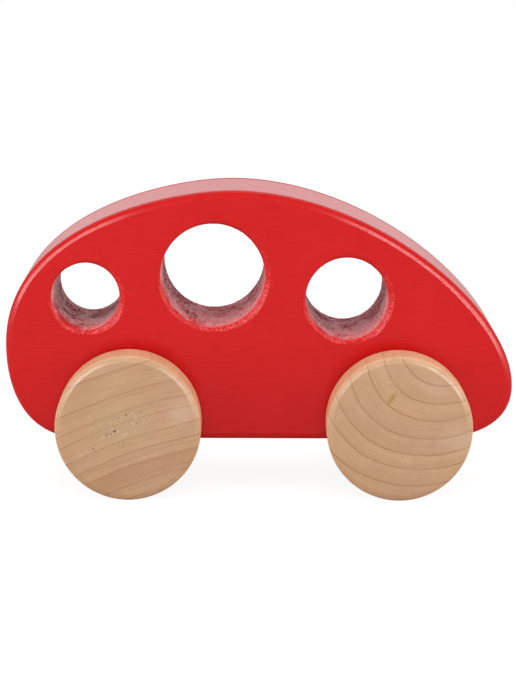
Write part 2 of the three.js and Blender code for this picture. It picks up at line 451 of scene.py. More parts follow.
def red_paint():
    """Satin red paint over plank grain, thin and rough where the drill tore the window rims and bores."""
    material, tree, shader = new_material("red_paint_finish", ior=1.35)
    place, normal = coordinates(tree)
    facing = parts(tree, normal)
    rim = attribute(tree, "rim")
    bore = attribute(tree, "bore")
    torn = attribute(tree, "torn")
    drill = attribute(tree, "drill", "Vector")
    marks = noisy(tree, drill, 1.0, roughness=0.6)
    smears = noisy(tree, drill, 0.15)
    thin, rougher = window_paint(tree, marks, smears, torn)

    fibre = placed(tree, WOOD_FIBRE, Vector=place, Width=0.5 * MM, Length=7 * MM)
    hairs = ranged(tree, fibre["Tone"], 0.6, 1.0)
    patches = placed(tree, MOTTLE, Vector=place, Size=24 * MM)["Tone"]
    # Torn fibres on the rims, partly painted glint flecks, heaviest on the lower rims where they catch the
    # lamps
    fuzz_and_glint = ranged(tree, noisy(tree, place, 1 / (0.6 * MM), roughness=0.6), 0.47, 0.62)
    # Painted shade: the window rims darken where their surface faces down
    shade_beneath = ranged(tree, facing["Z"], -0.55, -0.36, 0.75, 0.0)
    red = tinted(
        tree, blended(tree, patches, PAINT, PAINT_LIGHTER),
        (PAINT_ON_GRAIN, hairs, 0.5),
        (thin, bore),
        (RIM_FUZZ_AND_GLINT, fuzz_and_glint, rim, 0.7),
        (PAINTED_SHADE_UNDER_RIM, shade_beneath, ranged(tree, rim, 0.0, 0.04)),
    )
    fill(tree, shader["Base Color"], red)

    sideways = maths(tree, "ABSOLUTE", facing["Y"])
    aside = maths(tree, "ABSOLUTE", parts(tree, place)["Y"])
    handled = times(tree, ranged(tree, aside, *HANDLED_EDGE), ranged(tree, sideways, 0.3, 0.7, 0.4, 0.0))
    rough = more(
        tree, ranged(tree, sideways, 0.2, 0.7, 0.2, 0.17),
        (hairs, 0.06), (times(tree, torn, rim), 0.5), (handled, rest_of(tree, bore)), (rougher, bore),
    )
    fill(tree, shader["Roughness"], rough)

    ragged = maths(tree, "SUBTRACT", noisy(tree, place, 1 / (0.9 * MM), detail=3.0, roughness=0.7), 0.5)
    scored = maths(tree, "SUBTRACT", marks, 0.5)
    grain = bumped(tree, fibre["Height"], 0.008 * MM)
    grain = bumped(tree, times(tree, ragged, rim), 0.18 * MM, grain)
    fill(tree, shader["Normal"], bumped(tree, times(tree, scored, bore), 0.3 * MM, grain))
    return material


def ring_number(tree, radius, ring_ends):
    """Counts which year's growth a distance from the pith lies in, by the radii where each year ends."""
    reach = ring_ends[-1]
    curve = add(tree, "ShaderNodeFloatCurve", (1.0, maths(tree, "DIVIDE", radius, reach)))
    curve.mapping.extend = "EXTRAPOLATED"
    years = len(ring_ends) - 1
    points = curve.mapping.curves[0].points
    points[0].location = (ring_ends[0] / reach, 0.0)
    for year, ring_end in enumerate(ring_ends[1:-1], start=1):
        points.new(ring_end / reach, year / years)
    for point in points:
        point.handle_type = "VECTOR"
    curve.mapping.update()
    return times(tree, curve.outputs[0], years)


def stretched_spot(tree, vector, start_x, start_z, end_x, end_z, width):
    """A soft mask along a short line in the side view."""
    start = Vector((start_x, start_z))
    end = Vector((end_x, end_z))
    run = end - start
    middle = (start + end) / 2
    local = vectors(tree, "SUBTRACT", vector, (middle.x, 0.0, middle.y))
    local = rotated(tree, local, about_y=math.atan2(run.y, run.x))
    local = vectors(tree, "MULTIPLY", local, (2 / run.length, 0.0, 2 / width))
    return ranged(tree, length_of(tree, local), 0.2, 1.0, 1.0, 0.0)


def wheel_wood(name, centre, pith, ring_ends, turn=0.0, squash=1.0, line_share=0.6, fine_share=0.25,
               streak=None, scuff=None, pits=(), brown_band=None, pale_spots=(), yellow_spot=None):
    """Bare end grain: growth rings round a pith that lies off the wheel, pores and marks of its own."""
    material, tree, shader = new_material(name, ior=1.42)
    place, normal = coordinates(tree)
    from_centre = vectors(tree, "SUBTRACT", place, centre)
    end_grain = maths(tree, "ABSOLUTE", parts(tree, normal)["Y"])

    wander = add(tree, "ShaderNodeTexNoise", {"Vector": place, "Scale": 1 / (11 * MM), "Detail": 5.0})
    shift = vectors(tree, "MULTIPLY", wander.outputs["Color"], (RING_WANDER,) * 3)
    pith_place = (pith[0] + RING_WANDER / 2, 0.0, pith[1] + RING_WANDER / 2)
    from_pith = vectors(tree, "SUBTRACT", vectors(tree, "ADD", from_centre, shift), pith_place)
    turned = vectors(tree, "MULTIPLY", rotated(tree, from_pith, about_y=turn), (1.0, 0.0, squash))
    radius = length_of(tree, turned)
    rings = placed(tree, GROWTH_RINGS, Ring=ring_number(tree, radius, ring_ends))

    along_ring = parts(tree, vectors(tree, "MULTIPLY", from_centre, (1 / (14 * MM), 0.0, 1 / (14 * MM))))
    fine_place = joined(tree, maths(tree, "DIVIDE", radius, 0.45 * MM), along_ring["X"], along_ring["Z"])
    fine = ranged(tree, noisy(tree, fine_place, 1.0), 0.4, 0.7)
    turned_parts = parts(tree, turned)
    angle = maths(tree, "ARCTAN2", turned_parts["Z"], turned_parts["X"])
    round_pith = times(tree, angle, (ring_ends[0] + ring_ends[-1]) / 2 / (0.7 * MM))
    ray_place = joined(tree, round_pith, maths(tree, "DIVIDE", radius, 6 * MM), 0.0)
    rays = ranged(tree, noisy(tree, ray_place, 1.0), 0.45, 0.75)
    patches = placed(tree, MOTTLE, Vector=place, Size=9 * MM)["Tone"]
    blotches = placed(tree, MOTTLE, Vector=place, Size=4.5 * MM)["Tone"]
    speckle = noisy(tree, place, 1 / (0.5 * MM), detail=3.0, roughness=0.7)
    along = rotated(tree, place, about_z=ALONG_AXLE)
    fibre = placed(tree, WOOD_FIBRE, Vector=along, Width=0.35 * MM, Length=9 * MM)
    pores = placed(tree, SPECKS, Vector=place, Spacing=0.9 * MM, Share=0.3)["Mask"]

    layers = [
        (DARK_YEAR, rings["Year Tone"], 0.22),
        (WOOD_PATCH, patches, 0.5),
        (WOOD_BLOTCH, blotches, 0.45),
        (FINE_RING, fine, fine_share),
        (WOOD_RAY, rays, 0.14),
        (WOOD_SPECKLE, ranged(tree, speckle, 0.35, 0.7, 0.0, 0.35)),
    ]
    if yellow_spot:
        layers.append((YELLOW_CAST, stretched_spot(tree, from_centre, *yellow_spot), 0.6))
    for pale_spot in pale_spots:
        layers.append((PALE_SPOT, stretched_spot(tree, from_centre, *pale_spot), patches, 0.7))
    faded = more(tree, 1.15, (patches, -0.6))
    on_face = ranged(tree, end_grain, 0.2, 0.9, 0.25, 1.0)
    layers.append((RING_LINE, rings["Line"], faded, on_face, line_share))
    layers.append((DARK_FIBRE, fibre["Tone"], 0.2))
    if brown_band:
        inner = ranged(tree, radius, brown_band[0] - 1 * MM, brown_band[0] + 1 * MM)
        outer = ranged(tree, radius, brown_band[1] - 0.4 * MM, brown_band[1] + 0.4 * MM, 1.0, 0.0)
        layers.append((BROWN_BAND, inner, outer, 0.4))
    if streak:
        broken = ranged(tree, fibre["Tone"], 0.0, 0.8, 0.5, 0.9)
        layers.append((BROWN_STREAK, stretched_spot(tree, from_centre, *streak), broken))
    layers.append((WOOD_PORE, pores, 0.16))

    hollow = times(tree, pores, 0.2)
    if scuff:
        torn = ranged(tree, noisy(tree, place, 1 / (0.7 * MM)), 0.58, 0.66)
        torn = times(tree, torn, stretched_spot(tree, from_centre, *scuff))
        layers.append((TORN_FIBRE, torn, 0.7))
        hollow = maths(tree, "MAXIMUM", hollow, torn)
    flat = vectors(tree, "MULTIPLY", from_centre, (1.0, 0.0, 1.0))
    for x, z, pit_radius in pits:
        gap = length_of(tree, vectors(tree, "SUBTRACT", flat, (x, 0.0, z)))
        pit = ranged(tree, gap, pit_radius * 0.4, pit_radius, 1.0, 0.0)
        layers.append((DARK_PIT, pit, 0.92))
        hollow = maths(tree, "MAXIMUM", hollow, pit)
    wood = tinted(tree, blended(tree, rings["Late Growth"], EARLY_WOOD, LATE_WOOD), *layers)
    # Side grain is lighter than end grain; the factor is also painted light for the bright top of the side
    # wall
    side_grain_and_painted_light = ranged(tree, end_grain, 0.35, 0.9, 1.3, 1.0)
    # Painted highlight: the lean edge facet is lightened into a pale ring
    facet_painted_highlight = ranged(tree, end_grain, 0.93, 0.985, 1.08, 1.0)
    wood = blended(tree, 1.0, wood, times(tree, side_grain_and_painted_light, facet_painted_highlight), "MULTIPLY")
    fill(tree, shader["Base Color"], wood)

    polish = ranged(tree, end_grain, 0.3, 0.8, 0.42, 0.18)
    polish = maths(tree, "ADD", polish, ranged(tree, end_grain, 0.95, 0.99, 0.0, 0.1))
    fill(tree, shader["Roughness"], more(tree, polish, (fibre["Tone"], 0.1)))
    grain = bumped(tree, fibre["Height"], 0.02 * MM)
    fill(tree, shader["Normal"], bumped(tree, rest_of(tree, hollow), 0.1 * MM, grain))
    return material


def dowel_wood():
    """Pale straight-grained dowel, its fibres along the axle."""
    material, tree, shader = new_material("dowel_wood_finish", ior=1.4)
    place, _ = coordinates(tree)
    along = rotated(tree, place, about_z=ALONG_AXLE)
    fibre = placed(tree, WOOD_FIBRE, Vector=along, Width=0.3 * MM, Length=12 * MM)
    patches = placed(tree, MOTTLE, Vector=place, Size=9 * MM)["Tone"]
    wood = blended(tree, fibre["Tone"], DOWEL_PALE, DOWEL_DARK)
    fill(tree, shader["Base Color"], tinted(tree, wood, (DOWEL_PATCH, patches, 0.3)))
    fill(tree, shader["Roughness"], more(tree, 0.55, (fibre["Tone"], 0.1)))
    fill(tree, shader["Normal"], bumped(tree, fibre["Height"], 0.025 * MM))
    return material


# Objects and meshes

def linked(name, data):
    """A new object in the scene."""
    made = bpy.data.objects.new(name, data)
    bpy.context.scene.collection.objects.link(made)
    return made


def mesh_from(bm, name):
    """A plain mesh from an edited one, with its faces turned outwards."""
    bmesh.ops.recalc_face_normals(bm, faces=bm.faces)
    mesh = bpy.data.meshes.new(name)
    bm.to_mesh(mesh)
    bm.free()
    return mesh


def settle(piece):
    """Puts the result of a piece's modifiers in its mesh and removes them."""
    first = piece.data
    graph = bpy.context.evaluated_depsgraph_get()
    made = bpy.data.meshes.new_from_object(piece.evaluated_get(graph), depsgraph=graph)
    piece.modifiers.clear()
    piece.data = made
    bpy.data.meshes.remove(first)
    made.name = piece.name


def clamped(value):
    """A value held between nothing and one."""
    return max(0.0, min(1.0, value))


# Slab body

def quarter(start, end, leaves_level, fullness):
    """Points of one quarter of the outline, without its end: level at one end and upright at the other."""
    corner = Vector((end.x, start.y)) if leaves_level else Vector((start.x, end.y))
    first_handle = start.lerp(corner, fullness[0])
    last_handle = end.lerp(corner, fullness[1])
    return geometry.interpolate_bezier(start, first_handle, last_handle, end, QUARTER_STEPS)[:-1]


def evenly_spaced(loop, spacing):
    """Points at even steps along a closed loop."""
    closed = loop + loop[:1]
    lengths = [(b - a).length for a, b in zip(closed, closed[1:])]
    count = round(sum(lengths) / spacing)
    step = sum(lengths) / count
    points = []
    travelled = 0.0
    for start, end, length in zip(closed, closed[1:], lengths):
        while len(points) < count and len(points) * step < travelled + length:
            points.append(start.lerp(end, (len(points) * step - travelled) / length))
        travelled += length
    return points


def body_outline():
    """The slab's side view, from the underside's rear round the tail, roof and nose, at even steps."""
    underside_rear = Vector((TAIL_X + TAIL_SWEEP, UNDERSIDE_Z))
    tail = Vector((TAIL_X, UNDERSIDE_Z + TAIL_HEIGHT))
    roof_peak = Vector((ROOF_PEAK_X, ROOF_Z))
    nose = Vector((NOSE_X, UNDERSIDE_Z + NOSE_HEIGHT))
    underside_front = Vector((NOSE_X - NOSE_SWEEP, UNDERSIDE_Z))
    loop = quarter(underside_rear, tail, True, TAIL_LOWER_FULLNESS)
    loop += quarter(tail, roof_peak, False, TAIL_UPPER_FULLNESS)
    loop += quarter(roof_peak, nose, True, BONNET_FULLNESS)
    loop += quarter(nose, underside_front, False, NOSE_LOWER_FULLNESS)
    loop.append(underside_front)
    return evenly_spaced(loop, OUTLINE_SPACING)


def outward(loop):
    """The unit direction away from the wood at each point of a loop, clockwise in the side view."""
    directions = []
    for k in range(len(loop)):
        run = loop[(k + 1) % len(loop)] - loop[k - 1]
        directions.append(Vector((-run.y, run.x)).normalized())
    return directions


def edge_profile(facet_width, facet_lean, round_inset, round_depth):
    """A worked edge from the flat side to the wall, as (inset, depth): a lean facet, then a rounding."""
    step = facet_width / FACET_STEPS
    profile = [(round_inset + facet_width, 0.0)]
    for k in range(1, FACET_STEPS + 1):
        turned = max(0.0, k / FACET_STEPS - FACET_FLAT_SHARE) / (1 - FACET_FLAT_SHARE)
        inset, depth = profile[-1]
        profile.append((inset - step, depth + step * math.tan(facet_lean + EDGE_TURN * turned)))
    drop = profile[-1][1]
    start = facet_lean + EDGE_TURN
    for k in range(1, ROUND_STEPS + 1):
        lean = start + (math.pi / 2 - start) * k / ROUND_STEPS
        inset = round_inset * (1 - math.sin(lean)) / (1 - math.sin(start))
        depth = drop + round_depth * (math.cos(start) - math.cos(lean)) / math.cos(start)
        profile.append((inset, depth))
    return profile


def through_stations(edge, rows):
    """Rows of a wall through the slab, as (inset, depth, side), with side from -1 in front to 1 behind."""
    stations = [(inset, depth, -1.0) for inset, depth in edge]
    stations += [(0.0, edge[-1][1], -math.cos(math.pi * k / rows)) for k in range(1, rows)]
    stations += [(inset, depth, 1.0) for inset, depth in reversed(edge)]
    return stations


def skin(bm, rings):
    """Faces between each ring of vertices and the next."""
    for ring, following in zip(rings, rings[1:]):
        for k in range(len(ring)):
            bm.faces.new((ring[k - 1], ring[k], following[k], following[k - 1]))


def crease(bm, ring):
    """Keeps the shading sharp across a ring of edges."""
    for k in range(len(ring)):
        bm.edges.get((ring[k - 1], ring[k])).smooth = False


def outer_wall(bm):
    """The slab's outer wall with its worked edges. Gives the rings of vertices from front to back."""
    loop = body_outline()
    directions = outward(loop)
    edge = edge_profile(BODY_FACET_WIDTH, BODY_FACET_LEAN, BODY_ROUND_INSET, BODY_ROUND_DEPTH)
    rings = []
    for inset, depth, side in through_stations(edge, WALL_ROWS):
        y = side * (SIDE_Y - depth)
        ring = []
        for point, direction in zip(loop, directions):
            where = Vector((point.x, math.copysign(SIDE_Y, side), point.y)) / BODY_EDGE_WANDER_LENGTH
            moved = point - direction * inset * (1 + BODY_EDGE_WANDER * noise.noise(where))
            ring.append(bm.verts.new((moved.x, y, moved.y)))
        rings.append(ring)
    skin(bm, rings)
    return rings


def window_wall(bm, centre, radius, layers):
    """A window's bore and its two rims, torn by the drill. Gives the rings of vertices from front to back."""
    count = round(math.tau * radius / WINDOW_SPACING)
    edge = edge_profile(WINDOW_FACET_WIDTH, WINDOW_FACET_LEAN, WINDOW_ROUND_INSET, WINDOW_ROUND_DEPTH)
    facet_depth = edge[FACET_STEPS][1]
    edge_depth = edge[-1][1]
    rim_inset = edge[0][0]
    rings = []
    for inset, depth, side in through_stations(edge, WINDOW_ROWS):
        into = SIDE_Y - abs(side) * (SIDE_Y - depth)
        rim_share = 0.0 if depth == 0 else clamped(1 - (into - edge_depth) / RIM_FADE)
        bore_share = clamped((depth - facet_depth) / (edge_depth - facet_depth) * BORE_ONSET)
        # deep runs from the front mouth to the back, and sets the painted light and shade along the bore
        deep_share = min(1.0, (1 + side) * SIDE_Y / DEEP_REACH)
        ring = []
        for k in range(count):
            angle = math.tau * k / count
            along = Vector((math.cos(angle), math.sin(angle)))
            spot = centre + along * radius
            on_side = Vector((spot.x, math.copysign(SIDE_Y, side), spot.y))
            wander = 1 + WINDOW_EDGE_WANDER * noise.noise(on_side / WINDOW_EDGE_WANDER_LENGTH)
            wander += WINDOW_EDGE_DRIFT.dot(along)
            # Wear is heaviest on the lower rims; through the rim value it also lays the painted glint flecks
            # there
            worn = max(RIM_WEAR_LEAST, min(1.0, RIM_WEAR + RIM_WEAR_DRIFT.dot(along)))
            y = side * (SIDE_Y - depth * wander)
            here = Vector((spot.x, y, spot.y))
            marks = Vector((*(along * radius / DRILL_MARK_LENGTH), y / DRILL_MARK_PITCH))
            reach = radius + inset * wander
            reach += bore_share * DRILL_MARK_DEPTH * noise.noise(marks)
            reach += worn * rim_share * TORN_DEPTH * noise.noise(here / TORN_GRAIN)
            reach += worn * inset / rim_inset * RAGGED_REACH * noise.noise(on_side / RAGGED_GRAIN)
            moved = centre + along * reach
            vertex = bm.verts.new((moved.x, y, moved.y))
            vertex[layers["rim"]] = rim_share * worn
            vertex[layers["bore"]] = bore_share
            vertex[layers["deep"]] = deep_share
            vertex[layers["torn"]] = max(0.0, 2 * along.x * along.y)
            # pale marks the left wall of the bore, where the painted sheen is laid
            vertex[layers["pale"]] = max(0.0, -along.x)
            vertex[layers["drill"]] = marks
            ring.append(vertex)
        rings.append(ring)
    skin(bm, rings)
    return rings


def bore_cutter(name, x, z):
    """A cutter for an axle's bore, flared at both ends for the chamfered mouths."""
    bm = bmesh.new()
    straight = SIDE_Y - AXLE_BORE_CHAMFER
    flare = AXLE_BORE_CHAMFER + AXLE_CUTTER_REACH
    stations = ((flare, -straight - flare), (0.0, -straight), (0.0, straight), (flare, straight + flare))
    rings = []
    for wider, y in stations:
        ring = []
        for k in range(AXLE_BORE_FACETS):
            angle = math.tau * k / AXLE_BORE_FACETS
            along = Vector((math.cos(angle), 0.0, math.sin(angle)))
            ring.append(bm.verts.new(Vector((x, y, z)) + along * (AXLE_BORE_RADIUS + wider)))
        rings.append(ring)
    skin(bm, rings)
    bm.faces.new(rings[0])
    bm.faces.new(rings[-1])
    for face in bm.faces:
        face.smooth = len(face.verts) == 4
    return linked(name, mesh_from(bm, name))


def bored_for_axles(piece):
    """Cuts both axle bores, which break into the rounded lower edges."""
    cutters = []
    for node in ("rear_axle", "front_axle"):
        low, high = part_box(node)
        cut = piece.modifiers.new(node, "BOOLEAN")
        cut.operation = "DIFFERENCE"
        cut.solver = "EXACT"
        cut.object = bore_cutter(node + "_bore_cutter", (low.x + high.x) / 2, (low.z + high.z) / 2)
        cutters.append(cut.object)
    settle(piece)
    for cutter in cutters:
        bpy.data.objects.remove(cutter)


def inside(point, loop):
    """Whether a point of the side view lies inside a closed loop."""
    odd = False
    for a, b in zip(loop, loop[-1:] + loop[:-1]):
        if (a.y > point.y) != (b.y > point.y):
            if point.x < a.x + (b.x - a.x) * (point.y - a.y) / (b.y - a.y):
                odd = not odd
    return odd


def flat_side(bm, outer, holes):
    """Fills a flat side between the outer ring and the holes' rings with even triangles."""
    rings = [outer] + holes
    y = outer[0].co.y
    vertices = [vertex for ring in rings for vertex in ring]
    edges = []
    for ring in rings:
        first = len(edges)
        edges += [(first + k, first + (k + 1) % len(ring)) for k in range(len(ring))]
    loops = [[Vector((vertex.co.x, vertex.co.z)) for vertex in ring] for ring in rings]
    points = [point for loop in loops for point in loop]
    borders = kdtree.KDTree(len(points))
    for k, point in enumerate(points):
        borders.insert((point.x, point.y, 0.0), k)
    borders.balance()

    def on_material(point):
        return inside(point, loops[0]) and not any(inside(point, loop) for loop in loops[1:])

    for column in range(int((NOSE_X - TAIL_X) / SIDE_GRID)):
        for row in range(int((ROOF_Z - UNDERSIDE_Z) / SIDE_GRID)):
            shift = 0.5 * (row % 2)
            point = Vector((TAIL_X + SIDE_GRID * (column + shift), UNDERSIDE_Z + SIDE_GRID * (row + 0.5)))
            if borders.find((point.x, point.y, 0.0))[2] > SIDE_GRID_MARGIN and on_material(point):
                points.append(point)
                vertices.append(bm.verts.new((point.x, y, point.y)))

    made, _, triangles, origins, _, _ = geometry.delaunay_2d_cdt(points, edges, [], 0, SIDE_TOLERANCE)
    for triangle in triangles:
        middle = sum((made[k] for k in triangle), Vector((0.0, 0.0))) / 3
        if on_material(middle):
            bm.faces.new([vertices[origins[k][0]] for k in triangle])


def painted_slab():
    """The whole body: outer wall, windows, the two flat sides and the axle bores."""
    bm = bmesh.new()
    layers = {name: bm.verts.layers.float.new(name) for name in ("rim", "bore", "deep", "torn", "pale")}
    layers["drill"] = bm.verts.layers.float_vector.new("drill")
    walls = [outer_wall(bm)]
    for opening in frame["record"]["physics"]["openings"]:
        low, high = (Vector((corner[0], corner[2])) for corner in opening["box_m"])
        walls.append(window_wall(bm, (low + high) / 2, WINDOW_DIAMETERS[opening["name"]] / 2, layers))
    for end in (0, -1):
        flat_side(bm, walls[0][end], [wall[end] for wall in walls[1:]])
        for wall in walls:
            crease(bm, wall[end])
    for face in bm.faces:
        face.smooth = True
    mesh = mesh_from(bm, "painted_slab")
    mesh.materials.append(red_paint())
    piece = linked("painted_slab", mesh)
    bored_for_axles(piece)
    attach(piece, "van_body")
    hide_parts("slab_body")


# Wheels and dowels

def turned_tree():
    """A piece turned on a lathe about Y: its profile is revolved, from the outer face to a blind socket."""
    numbers = ("Radius", "Length", "Edge Inset", "Edge Drop", "Edge Round", "Socket Radius", "Socket Depth",
               "Unevenness", "Seed", "Turn")
    inputs = [(name, "Float") for name in numbers]
    inputs += [("Facets", "Int"), ("Place", "Vector"), ("Finish", "Material")]
    tree, given, ending = new_tree("Turned piece", "GeometryNodeTree", inputs, (("Geometry", "Geometry"),))
    tree.is_modifier = True

    def made(kind, inputs=(), **settings):
        """A geometry node's first output."""
        return add(tree, "GeometryNode" + kind, inputs, **settings).outputs[0]

    def chosen(kind, values):
        """A value for each profile point, by its index."""
        switch = add(tree, "GeometryNodeIndexSwitch", data_type=kind)
        while len(switch.index_switch_items) < len(values):
            switch.index_switch_items.new()
        fill(tree, switch.inputs["Index"], made("InputIndex"))
        for k, value in enumerate(values):
            fill(tree, switch.inputs[k + 1], value)
        return switch.outputs[0]

    radius = given["Radius"]
    length = given["Length"]
    edge_round = given["Edge Round"]
    socket_radius = given["Socket Radius"]
    socket_depth = given["Socket Depth"]
    face_radius = maths(tree, "SUBTRACT", radius, given["Edge Inset"])
    outer_drop = maths(tree, "SUBTRACT", length, given["Edge Drop"])
    outer_rim = maths(tree, "SUBTRACT", outer_drop, times(tree, edge_round, EDGE_ROUND_REACH))
    inner_rim = maths(tree, "SUBTRACT", length, outer_rim)

    # Profile points: radius, height, cuts on the way to the next point, and rounding
    profile = (
        (0.0, length, 7, 0.0),
        (face_radius, length, 0, 0.0),
        (radius, outer_drop, 0, edge_round),
        (radius, outer_rim, 5, 0.0),
        (radius, inner_rim, 0, 0.0),
        (radius, given["Edge Drop"], 0, edge_round),
        (face_radius, 0.0, 5, 0.0),
        (socket_radius, 0.0, 2, 0.0),
        (socket_radius, socket_depth, 1, 0.0),
        (0.0, socket_depth, 0, 0.0),
    )
    across, heights, cuts, rounds = zip(*profile)
    places = [joined(tree, x, y, 0.0) for x, y in zip(across, heights)]
    line = made("MeshLine", {"Count": len(profile)})
    shaped = made("SetPosition", {"Geometry": line, "Position": chosen("VECTOR", places)})
    curve = made("MeshToCurve", (shaped,))
    stored = {"Geometry": curve, "Name": "edge_round", "Value": chosen("FLOAT", rounds)}
    curve = made("StoreNamedAttribute", stored, data_type="FLOAT", domain="POINT")
    divided = made("SubdivideCurve", (curve, chosen("INT", cuts)))
    named = made("InputNamedAttribute", ("edge_round",), data_type="FLOAT")
    fillet = {"Curve": divided, "Radius": named, "Count": EDGE_ROUND_POINTS}
    rows_mesh = made("CurveToMesh", (made("FilletCurve", fillet, mode="POLY"),))
    rows = made("AttributeDomainSize", (rows_mesh,), component="MESH")

    columns = maths(tree, "ADD", given["Facets"], 1.0)
    grid = made("MeshGrid", {"Vertices X": columns, "Vertices Y": rows})
    index = made("InputIndex")
    column = maths(tree, "FLOOR", maths(tree, "DIVIDE", maths(tree, "ADD", index, 0.5), rows))
    row = maths(tree, "SUBTRACT", index, times(tree, column, rows))
    position = made("InputPosition")
    sampled = parts(tree, made("SampleIndex", (rows_mesh, position, row), data_type="FLOAT_VECTOR"))
    angle = maths(tree, "DIVIDE", times(tree, column, math.tau), given["Facets"])
    revolved = joined(
        tree,
        times(tree, sampled["X"], maths(tree, "COSINE", angle)),
        times(tree, sampled["Y"], -1.0),
        times(tree, sampled["X"], maths(tree, "SINE", angle)),
    )
    body = made("SetPosition", {"Geometry": grid, "Position": revolved})
    body = made("MergeByDistance", {"Geometry": body, "Distance": DOUBLES_DISTANCE})

    lump_inputs = {"Vector": position, "W": given["Seed"], "Scale": 1 / UNEVENNESS_LENGTH}
    lumps = add(tree, "ShaderNodeTexNoise", lump_inputs, noise_dimensions="4D").outputs[0]
    swell = times(tree, maths(tree, "SUBTRACT", lumps, 0.5), given["Unevenness"])
    body = made("SetPosition", {"Geometry": body, "Offset": scaled(tree, made("InputNormal"), swell)})

    spun = add(tree, "FunctionNodeEulerToRotation", (joined(tree, 0.0, 0.0, given["Turn"]),)).outputs[0]
    body = made("Transform", {"Geometry": body, "Translation": given["Place"], "Rotation": spun})
    edge_angle = made("InputMeshEdgeAngle")
    sharp = add(tree, "FunctionNodeCompare", (edge_angle, SHARP_ANGLE), operation="GREATER_THAN").outputs[0]
    body = made("SetShadeSmooth", (body,), domain="FACE")
    body = made("SetShadeSmooth", (body, sharp, False), domain="EDGE")
    body = made("RealizeInstances", (body,))
    fill(tree, ending.inputs[0], made("SetMaterial", {"Geometry": body, "Material": given["Finish"]}))
    return tree


TURNED = turned_tree()


def turned_piece(name, node, values, faces_left=False):
    """The turned tree's result as a plain mesh, where a CAD node is."""
    low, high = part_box(node)
    centre = (low + high) / 2
    values["Radius"] = (high.x - low.x) / 2
    values["Length"] = high.y - low.y
    values["Turn"] = math.pi if faces_left else 0.0
    values["Place"] = (centre.x, low.y if faces_left else high.y, centre.z)
    piece = linked(name, bpy.data.meshes.new(name))
    modifier = piece.modifiers.new("Turned", "NODES")
    modifier.node_group = TURNED
    for item in TURNED.interface.items_tree:
        if item.in_out == "INPUT":
            modifier[item.identifier] = values[item.name]
    settle(piece)
    return piece


def turned_wheel(node, body, seed, **marks):
    """A wheel with rings of its own."""
    low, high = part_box(node)
    centre = (low + high) / 2
    values = {
        "Edge Inset": WHEEL_EDGE_INSET,
        "Edge Drop": WHEEL_EDGE_INSET * math.tan(WHEEL_EDGE_LEAN),
        "Edge Round": WHEEL_EDGE_ROUND,
        "Socket Radius": WHEEL_SOCKET_RADIUS,
        "Socket Depth": WHEEL_SOCKET_DEPTH,
        "Unevenness": WHEEL_UNEVENNESS,
        "Seed": seed,
        "Facets": WHEEL_FACETS,
        "Finish": wheel_wood(node + "_wood", centre, **marks),
    }
    piece = turned_piece(node + "_turned", node, values, faces_left=centre.y > 0)
    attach(piece, body)
    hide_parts(node)


def turned_dowel(node, body, seed, finish):
    """An axle, with both its ends eased."""
    values = {
        "Edge Inset": DOWEL_EDGE_INSET,
        "Edge Drop": DOWEL_EDGE_INSET,
        "Edge Round": DOWEL_EDGE_ROUND,
        "Socket Radius": 0.0,
        "Socket Depth": 0.0,
        "Unevenness": DOWEL_UNEVENNESS,
        "Seed": seed,
        "Facets": DOWEL_FACETS,
        "Finish": finish,
    }
    piece = turned_piece(node + "_dowel", node, values)
    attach(piece, body)
    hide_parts(node)


def in_mm(*values):
    """Sizes in millimetres as metres."""
    return [value * MM for value in values]


def wheelsets():
    """Both dowels and all four wheels. Marks are measured from a wheel's centre, X to the nose and Z up.

    A pit is given as its place and radius, and a spot, scuff or streak as its two ends and width.
    """
    dowel = dowel_wood()
    turned_dowel("rear_axle", "rear_wheelset", 1.0, dowel)
    turned_dowel("front_axle", "front_wheelset", 2.0, dowel)
    pits = (
        (-3.3, -0.7, 0.40), (-4.3, -1.3, 0.22), (-5.3, -1.6, 0.22), (-0.4, 3.6, 0.24), (3.4, 4.35, 0.20),
        (2.6, 4.1, 0.16), (-8.75, -5.2, 0.26), (-9.6, -5.4, 0.16), (-3.8, 2.3, 0.16), (-3.2, 2.9, 0.14),
        (-2.4, 2.65, 0.16), (-1.2, -4.6, 0.16), (-0.8, -3.8, 0.13), (2.3, 1.5, 0.17),
    )
    turned_wheel("rear_right_wheel", "rear_wheelset", 3.0, pith=in_mm(40.7, -116.2),
                 pits=[in_mm(*pit) for pit in pits],
                 ring_ends=in_mm(106.3, 109.6, 114.2, 117.3, 120.8, 125.2, 127.8, 132.3, 138.5),
                 brown_band=in_mm(109.6, 114.2), line_share=0.4, fine_share=0.4,
                 yellow_spot=in_mm(-12.0, -2.0, 9.0, 4.0, 17),
                 pale_spots=[in_mm(9.0, 3.0, 18.0, 6.0, 9)],
                 scuff=in_mm(-9.5, -4.0, 9.0, 6.0, 8))
    turned_wheel("front_right_wheel", "front_wheelset", 4.0, pith=in_mm(17.54, 30.38),
                 ring_ends=in_mm(21.8, 27.0, 31.8, 37.1, 41.9, 45.8, 50.5),
                 turn=math.radians(49.7), squash=1.42,
                 pale_spots=[in_mm(14.0, 4.0, 14.0, -10.0, 12), in_mm(2.0, 14.0, 14.0, 9.0, 7)],
                 streak=in_mm(-0.7, 10.0, -3.8, 5.6, 1.7))
    turned_wheel("rear_left_wheel", "rear_wheelset", 5.0, pith=in_mm(-34.0, 42.0),
                 ring_ends=in_mm(36.0, 40.5, 44.0, 49.0, 52.5, 57.5, 61.0, 66.0, 72.0))
    turned_wheel("front_left_wheel", "front_wheelset", 6.0, pith=in_mm(22.0, -61.0),
                 ring_ends=in_mm(46.0, 51.0, 54.5, 59.0, 64.5, 68.0, 73.0, 77.5, 84.0),
                 turn=math.radians(-20), squash=1.12)


# Studio

def seen_by(tree, *rays):
    """One for the kinds of ray that are named."""
    light = add(tree, "ShaderNodeLightPath").outputs
    seen = light[rays[0]]
    for ray in rays[1:]:
        seen = maths(tree, "MAXIMUM", seen, light[ray])
    return seen


